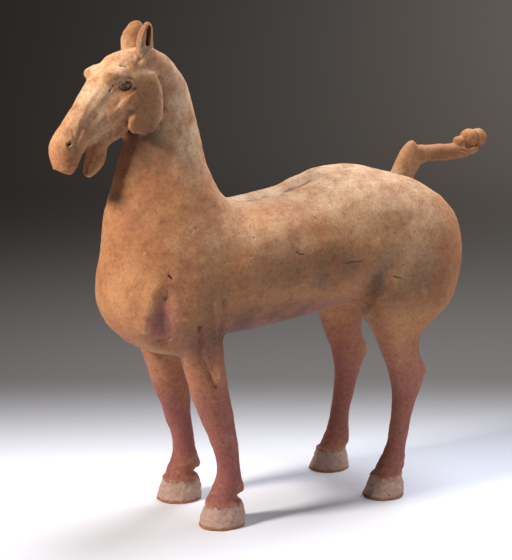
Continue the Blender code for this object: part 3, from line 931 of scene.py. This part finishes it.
# %% Pits, slots and cracks
PITS = [
    (134, -150, 519), (105, -151, 610), (107, -158, 605), (30, -285, 555), (36, -292, 465), (128, -38, 548),
    (131, -39, 538), (115, -26, 582), (121, 21, 570), (127, 138, 493), (126, 89, 484), (148, 288, 477),
    (155, 303, 472), (159, 325, 479), (159, 327, 499), (107, 246, 419), (112, 120, 610), (96, -120, 640),
]
SLOTS = [
    ([(122, -216, 529), (123, -210, 523)], 3.8, 7),
    ([(127, 65, 547), (128, 72, 543), (128, 79, 540)], 3.2, 5.0),
    ([(132, 177, 513), (134, 190, 515), (135, 203, 515), (136, 214, 518)], 2.8, 3.0),
    ([(126, -97, 543), (128, -78, 541), (129, -58, 540)], 2.0, 0.6),
    ([(148, 286, 478), (154, 299, 473)], 3.2, 4.4),
]
PIT_REACH = 2.8
PIT_REACH_SHARES = (0.7, 1.1)
PIT_DEPTH = 4.4
FAR_SHIFT = 25  # how far a far pit may lie from the mirrored place, each way
FAR_SEED = 7

far_side = np.random.default_rng(FAR_SEED)
far_pits = [
    (-x, y + far_side.uniform(-FAR_SHIFT, FAR_SHIFT), z + far_side.uniform(-FAR_SHIFT, FAR_SHIFT))
    for x, y, z in PITS
]
pit_marks = [
    ([spot], PIT_REACH * far_side.uniform(*PIT_REACH_SHARES), PIT_DEPTH, CRISP, ONCE)
    for spot in PITS + far_pits
]
slot_marks = [(path, reach, depth, CRISP, ONCE) for path, reach, depth in SLOTS]

# %% An uneven skin
HOOF_SPOTS = [((93, -90, 30), (60, 80, 75), 1.0), ((110, 298, 30), (60, 80, 75), 1.0)]
WAVES = 24
WAVE_SHARES = (0.6, 1.6)  # of the length asked for


def uneven(mesh, wave_mm, height_mm, seed, spots=WHOLE_SKIN):
    """Gentle swells of about that length and height: crossed sine waves, summed, within the spots."""
    points = skin_points(mesh)
    outward = outward_normals(mesh)
    draws = np.random.default_rng(seed)
    swell = np.zeros(len(points))
    for _ in range(WAVES):
        direction = draws.normal(size=3)
        direction /= np.linalg.norm(direction)
        pace = 2 * np.pi * 1000 / (wave_mm * draws.uniform(*WAVE_SHARES))
        swell += np.sin(points @ direction * pace + draws.uniform(0, 2 * np.pi))
    swell *= height_mm / 1000 / math.sqrt(WAVES / 2) * spot_weight(points, spots)
    move_skin(mesh, points + swell[:, None] * outward)


uneven(clay_horse.data, wave_mm=70, height_mm=0.7, seed=3)
uneven(clay_horse.data, wave_mm=22, height_mm=0.22, seed=4)
uneven(clay_horse.data, wave_mm=15, height_mm=0.8, seed=6, spots=HOOF_SPOTS)
draw(clay_horse.data, pit_marks + slot_marks)
print("pits:", len(pit_marks), "slots and cracks:", len(slot_marks))

# %% Flat soles and fewer facets
HORSE_FACES = 186000
CUT_TOLERANCE = 1e-6
FACE_SPOTS = [
    ((45, -265, 880), (45, 60, 65), 1.0),
    ((30, -355, 770), (40, 60, 60), 1.0),
    ((45, -260, 825), (30, 50, 50), 1.0),
    ((30, -235, 930), (40, 40, 35), 1.0),
]


def level_soles(mesh):
    """The hoofs cut flat where they stand."""
    shape = bmesh.new()
    shape.from_mesh(mesh)
    bmesh.ops.bisect_plane(
        shape,
        geom=shape.verts[:] + shape.edges[:] + shape.faces[:],
        dist=CUT_TOLERANCE,
        plane_co=(0, 0, 0),
        plane_no=(0, 0, 1),
        clear_inner=True,
    )
    bmesh.ops.holes_fill(shape, edges=[edge for edge in shape.edges if edge.is_boundary])
    bmesh.ops.recalc_face_normals(shape, faces=shape.faces)
    shape.to_mesh(mesh)
    shape.free()


def thinned(lump, faces, kept_spots):
    """Fewer facets, fewest where the skin is flat; the kept spots are thinned last."""
    now = sum(len(face.vertices) - 2 for face in lump.data.polygons)
    kept = np.flatnonzero(spot_weight(skin_points(lump.data), kept_spots) > 0)
    lump.vertex_groups.new(name="kept").add(kept.tolist(), 1.0, "REPLACE")
    thin = lump.modifiers.new("thin", "DECIMATE")
    thin.vertex_group = "kept"
    thin.vertex_group_factor = 1.0
    thin.invert_vertex_group = True
    thin.decimate_type = "COLLAPSE"
    thin.ratio = min(1.0, faces / now)
    settled(lump)


thinned(clay_horse, HORSE_FACES, FACE_SPOTS)
level_soles(clay_horse.data)
clay_horse.data.shade_smooth()
print("horse facets:", sum(len(face.vertices) - 2 for face in clay_horse.data.polygons))

# %% [markdown]
# ## The ears
# Each ear is a leaf of clay rolled almost shut, like a furled leaf, with a narrow slit that looks out and
# forward. It is lofted from level rings on an oval stem, and the slit is a deep narrow stroke.

# %% Build the ears
EAR_GRAIN = 0.0011
EAR_STROKES = [
    ([(41, -217, 961), (40, -215, 972), (37, -211, 984)], 9, 4, SOFT),
    ([(41, -214, 960), (40, -212, 972), (37, -208, 985), (34, -206, 991)], 4.2, 9, SOFT),  # slit
    ([(38, -228, 958), (38, -225, 972), (35, -218, 986), (31, -212, 995)], 3.2, -2.2, SOFT),  # front rim
    ([(42, -205, 958), (41, -203, 972), (38, -201, 984), (34, -202, 992)], 3.2, -2.0, SOFT),  # rear rim
]


def build_ear(side, name):
    stem_middle = (EAR_STEM_FOOT + EAR_STEM_TOP) / 2
    rings = [ear_ring(side, level) for level in (EAR_STEM_FOOT + EAR_STEM_GAP, stem_middle)]
    rings += [ear_ring(side, *row) for row in in_between(EAR_LEAF, 4)]
    ear = pressed(name, [skin(name, rings)], EAR_GRAIN)
    wipe(ear.data, WHOLE_SKIN, 2 * EAR_GRAIN)
    for path, reach, depth, edge in EAR_STROKES:
        draw(ear.data, [(path, reach, depth, edge, (side,))])
    uneven(ear.data, wave_mm=18, height_mm=0.25, seed=5 + side)
    wipe(ear.data, WHOLE_SKIN, EAR_GRAIN)
    ear.data.shade_smooth()
    return ear


clay_ears = {"ear_left": build_ear(1, "clay_ear_left"), "ear_right": build_ear(-1, "clay_ear_right")}
print("ear facets:", [2 * len(ear.data.polygons) for ear in clay_ears.values()])

# %% [markdown]
# ## The tail
# The tail is docked and bound up in a knot: a square stub stands in its socket, a round bar is luted to
# the stub and sticks out behind, and its end is looped over itself in three fat lobes.

# %% Build the tail
TAIL_GRAIN = 0.0014
TAIL_REACH = 0.0038
TAIL_BAR = [
    ((424, 716), (440, 672), 12, 0.5, 2.2),
    ((440, 719), (452, 678), 16, 0.5, 2.2),
    ((465, 718), (470, 682), 17, 0.5, 2.2),
    ((500, 717), (505, 681), 17, 0.5, 2.2),
    ((530, 716), (540, 681), 17, 0.5, 2.2),
    ((555, 716), (565, 684), 16, 0.5, 2.2),
    ((572, 710), (578, 690), 9, 0.5, 2.2),
]
KNOT_PEBBLES = [
    ((0, 549, 719), (14, 13, 12)),
    ((0, 575, 728), (18, 20, 17)),
    ((0, 598, 724), (19, 23, 20)),
    ((0, 581, 703), (17, 19, 14)),
]
TAIL_STROKES = [
    ([(17, 562, 712), (17, 585, 711), (17, 606, 703)], 5, 5.5),
    ([(17, 564, 712), (18, 585, 711), (17, 608, 702)], 2.2, 2.6, CRISP),
    ([(16, 545, 703), (17, 560, 700), (14, 566, 684)], 4, 4.5, CRISP),
    ([(14, 558, 728), (17, 572, 716)], 3, 3.4, CRISP),
    ([(12, 585, 742), (17, 590, 728), (17, 586, 716)], 3, 2.6, CRISP),
    ([(0, 420, 724), (12, 424, 722), (18, 430, 708), (18, 440, 690), (12, 446, 676)], 2.6, 2.6, CRISP),
]


def build_tail():
    masses = [
        loft("stub", body_rows(TAIL_STEM + TAIL_STUB), LIMB_SIDES),
        loft("bar", body_rows(TAIL_BAR), LIMB_SIDES),
    ]
    masses += [pebble(*row) for row in KNOT_PEBBLES]
    tail = pressed("clay_tail", masses, TAIL_GRAIN)
    wipe(tail.data, WHOLE_SKIN, TAIL_REACH)
    draw(tail.data, TAIL_STROKES)
    uneven(tail.data, wave_mm=26, height_mm=0.35, seed=9)
    wipe(tail.data, WHOLE_SKIN, TAIL_GRAIN)
    tail.data.shade_smooth()
    return tail


clay_tail = build_tail()
print("tail facets:", 2 * len(clay_tail.data.polygons))

# %% [markdown]
# ## Stains
# Burial colours the clay in broad patches: grey-brown smoke on the flanks and thighs, a wine-red blush on
# the legs, pale slip on the hoofs, and a darker colour in every hollow. Each patch is an oval with a soft rim
# and is stored as a number on each point of the skin, which the material then breaks up with noise. The
# smoke layer also carries painted shade: under the throat, down the neck and under the belly, round the eye
# and in the pocket beside the chest, where the shadow is deeper than these lamps make it.

# %% Paint the stain maps
# Smoke stains; the rows marked below are painted shade, not stain
SMOKE_AND_SHADE = [
    ((140, 300, 470), (100, 150, 90), 0.9),
    ((125, 130, 500), (80, 220, 70), 0.8),
    ((50, -225, 850), (30, 50, 70), 0.35),
    ((125, -125, 460), (50, 60, 90), 0.45),
    # painted shade under the throat
    ((35, -215, 765), (50, 50, 80), 1.0),
    # painted shade on the neck below the throat
    ((0, -225, 700), (60, 40, 90), 0.9),
    # painted shade under the belly
    ((110, 20, 400), (150, 300, 75), 1.0),
    # painted shade round the sunken eye
    ((52, -266, 886), (18, 20, 18), 0.8),
    # painted shade in the pocket beside the chest
    ((105, -222, 438), (32, 34, 60), 0.5),
    ((0, 130, 700), (22, 200, 40), 0.3),
]
BLUSH = [
    ((100, -100, 150), (80, 130, 250), 1.0),
    ((110, 320, 150), (80, 130, 250), 0.9),
    ((100, 20, 385), (150, 300, 75), 0.9),
    ((100, -215, 440), (50, 50, 75), 1.0),
    ((115, -190, 530), (50, 60, 60), 0.2),
    ((50, -150, 870), (30, 50, 60), 0.4),
    ((60, -240, 640), (60, 50, 60), 0.25),
]
DUST = [
    ((40, 250, 640), (150, 260, 130), 1.0),
    ((60, 340, 550), (130, 120, 190), 1.0),
    ((110, 0, 590), (90, 230, 60), 0.4),
    ((40, -270, 930), (60, 110, 60), 0.8),
    ((0, -330, 860), (80, 120, 120), 1.0),
    ((30, -130, 820), (70, 90, 190), 1.0),
    ((45, -310, 850), (40, 60, 60), 0.8),
    ((0, 0, 640), (80, 300, 60), 0.9),
]
HOOF_TOP = 56  # where the pale slip of the hoofs ends
HOOF_FADE = 24
RIM_EDGE = 2  # the slip is worn off the rim that stands on the ground
RIM_FADE = 7
RIM_LEAST = 0.2
# Passes of averaging; depth in millimetres that counts as 1
HOLLOWS = {"hollow": (6, 1.8), "deep": (24, 4.5)}


def hollowness(mesh, passes, depth_mm):
    """How far each point lies below the mean of its surroundings, 1 where it is that deep, -1 on ridges."""
    points = skin_points(mesh)
    mean = neighbour_mean(mesh)
    around = points
    for _ in range(passes):
        around = mean(around)
    sunk = ((around - points) * outward_normals(mesh)).sum(axis=1)
    return np.clip(sunk * 1000 / depth_mm, -1, 1)


def store(mesh, name, values):
    layer = mesh.attributes.new(name, "FLOAT", "POINT")
    layer.data.foreach_set("value", values.astype(np.float32))


def paint(mesh):
    points = skin_points(mesh)
    for name, spots in (("smoke_and_shade", SMOKE_AND_SHADE), ("blush", BLUSH), ("dust", DUST)):
        store(mesh, name, spot_weight(points, spots))
    level = points[:, 2] / HEIGHT * 1000
    rim = np.clip((level - RIM_EDGE) / RIM_FADE, RIM_LEAST, 1)
    store(mesh, "hoof", np.clip((HOOF_TOP - level) / HOOF_FADE, 0, 1) * rim)
    for name, (passes, depth_mm) in HOLLOWS.items():
        store(mesh, name, hollowness(mesh, passes, depth_mm))


for lump in (clay_horse, clay_tail, *clay_ears.values()):
    paint(lump.data)

# %% [markdown]
# ## Fired earthenware
# Low-fired red clay is matt and thirsty: no glaze, a rough pinkish-orange body with grit in it, wiped
# smooth and then stained. Its IOR is that of common ceramic, its roughness high. The colour is built in
# layers: body, cloudy tone, wiped streaks, blush, smoke that also carries painted shade, dust, pale slip,
# a bloom on the ridges, a darker colour in every hollow, a dusky speckle, and last flecks and grit. The
# finest grain is bump, since it is finer than the mesh.

# %% The clay material
HORSE_TONES = ("#b8855a", "#a36c46")  # light and deep tone of the clay's body
TAIL_TONES = ("#b47e52", "#9a6640")
EAR_TONES = ("#b48458", "#96684a")
STREAK = "#c4936a"
WINE = "#935853"
# colour of the smoke stain, also used for the painted shade
SOOT_AND_SHADE = "#675140"
PALE_DUST = "#d9bf9c"
SLIP = "#bda193"
# the colour laid into every hollow, which it makes darker
HOLLOW_DARK = "#3f291f"
BLOOM = "#dfb98c"
FLECK = "#e8dccb"
GRIT = "#4a3226"
DUSK = "#b58a70"  # multiplied in, for the speckle of the bare clay

PATCH_MM = 45  # ragged edges of the stains
CLOUD_MM = 90  # cloudy changes of tone
STREAK_MM = 14  # marks of the wiping hand, long along the body
MOTTLE_MM = 9  # speckle, sheen and relief
FINE_MM = 4  # a second, finer speckle
FLECK_MM = 4  # pale lime specks
GRIT_MM = 5  # dark holes of burned straw, coarser than the real ones so that they show
GRAIN_MM = 1.6  # sandy grain, coarser than the real one so that it shows

# From which value of the noise, and up to which
CLOUD_SPAN = (0.32, 0.68)
GRIT_SPAN = (0.74, 0.8)
SHEEN_SPAN = (0.3, 0.7)
ROUGHNESS = (0.68, 0.92)
CLAY_SPECULAR = 0.35
CERAMIC_IOR = 1.5
MOTTLE_RELIEF = 0.8  # share of the mottle in the relief, beside the grain
BUMP_STRENGTH = 0.3
BUMP_HEIGHT = 0.0007


def noise(tree, where, size_mm, detail=4, roughness=0.55, scale=(1, 1, 1)):
    """Noise with features of about that size, as a 0 to 1 socket."""
    squeeze = add_node(tree, "ShaderNodeMapping", {"Vector": where, "Scale": scale})
    cloud = add_node(
        tree,
        "ShaderNodeTexNoise",
        {"Vector": squeeze.outputs[0], "Scale": 1000 / size_mm, "Detail": detail, "Roughness": roughness},
    )
    return cloud.outputs["Fac"]


def maths(tree, operation, a, b, **settings):
    return add_node(tree, "ShaderNodeMath", {0: a, 1: b}, operation=operation, **settings).outputs[0]


def times(tree, a, b):
    """The product, kept within 0 and 1."""
    return maths(tree, "MULTIPLY", a, b, use_clamp=True)


def stain(tree, name):
    return add_node(tree, "ShaderNodeAttribute", attribute_name=name).outputs["Fac"]


def earthenware(name, tones):
    material = bpy.data.materials.new(name)
    material.use_nodes = True
    tree = material.node_tree
    shader = tree.nodes["Principled BSDF"]
    where = add_node(tree, "ShaderNodeTexCoord").outputs["Object"]

    cloud = noise(tree, where, CLOUD_MM, detail=6, roughness=0.6)
    mottle = noise(tree, where, MOTTLE_MM, detail=5, roughness=0.65)
    streaks = noise(tree, where, STREAK_MM, detail=3, scale=(1, 0.3, 1))
    grain = noise(tree, where, GRAIN_MM, detail=2)
    fine = noise(tree, where, FINE_MM, detail=4, roughness=0.6)
    patches = noise(tree, where, PATCH_MM, detail=8, roughness=0.62)
    flecks = noise(tree, where, FLECK_MM, detail=2)
    grit = noise(tree, where, GRIT_MM, detail=3, scale=(1.3, 1.3, 1.3))
    slip = maths(tree, "ADD", stain(tree, "hoof"), mottle)
    hollow = stain(tree, "hollow")
    ridge = times(tree, hollow, -1.0)

    # Colour; what it follows, from and up to which value; strength; blend
    layers = [
        (STREAK, streaks, 0.4, 0.8, 0.35, "MIX"),
        (WINE, patches, 0.0, 0.6, stain(tree, "blush"), "MIX"),
        # smoke stain, with painted shade under the throat, neck and belly, round the eye and beside the chest
        (SOOT_AND_SHADE, patches, 0.15, 0.75, stain(tree, "smoke_and_shade"), "MIX"),
        (PALE_DUST, patches, 0.2, 0.8, stain(tree, "dust"), "MIX"),
        (SLIP, slip, 0.85, 1.3, 0.9, "MIX"),
        (BLOOM, ridge, 0.4, 1.2, 0.35, "MIX"),
        # every hollow made darker, the shallow ones and the deep ones
        (HOLLOW_DARK, hollow, 0.3, 1.0, 0.85, "MIX"),
        (HOLLOW_DARK, stain(tree, "deep"), 0.3, 1.1, 0.6, "MIX"),
        (DUSK, mottle, 0.56, 0.3, 0.42, "MULTIPLY"),
        (DUSK, fine, 0.6, 0.3, 0.38, "MULTIPLY"),
        (FLECK, flecks, 0.74, 0.8, 0.5, "MIX"),
        (GRIT, grit, *GRIT_SPAN, 0.7, "MIX"),
    ]
    light_tone, deep_tone = tones
    color = over(tree, linear(deep_tone), light_tone, between(tree, cloud, *CLOUD_SPAN))
    for hex_color, value, low, high, strength, blend in layers:
        amount = times(tree, between(tree, value, low, high), strength)
        color = over(tree, color, hex_color, amount, blend)
    tree.links.new(color, shader.inputs["Base Color"])

    low, high = SHEEN_SPAN
    smooth, rough = ROUGHNESS
    sheen = add_node(
        tree,
        "ShaderNodeMapRange",
        {"Value": mottle, "From Min": low, "From Max": high, "To Min": smooth, "To Max": rough},
    )
    tree.links.new(sheen.outputs["Result"], shader.inputs["Roughness"])
    shader.inputs["IOR"].default_value = CERAMIC_IOR
    shader.inputs["Specular IOR Level"].default_value = CLAY_SPECULAR

    relief = maths(tree, "ADD", grain, times(tree, mottle, MOTTLE_RELIEF))
    relief = maths(tree, "SUBTRACT", relief, between(tree, grit, *GRIT_SPAN))
    bump = add_node(
        tree, "ShaderNodeBump", {"Strength": BUMP_STRENGTH, "Distance": BUMP_HEIGHT, "Height": relief}
    )
    tree.links.new(bump.outputs["Normal"], shader.inputs["Normal"])
    return material


# %% Dress the pieces
horse_clay = earthenware("fired_red_clay", HORSE_TONES)
tail_clay = earthenware("fired_tail_clay", TAIL_TONES)
ear_clay = earthenware("fired_ear_clay", EAR_TONES)


def dress(piece, material, node):
    """The piece takes the place of a solid, with its own clay."""
    piece.data.materials.clear()
    piece.data.materials.append(material)
    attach(piece, "root")
    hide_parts(node)


dress(clay_horse, horse_clay, "horse")
dress(clay_tail, tail_clay, "tail")
for node, ear in clay_ears.items():
    dress(ear, ear_clay, node)
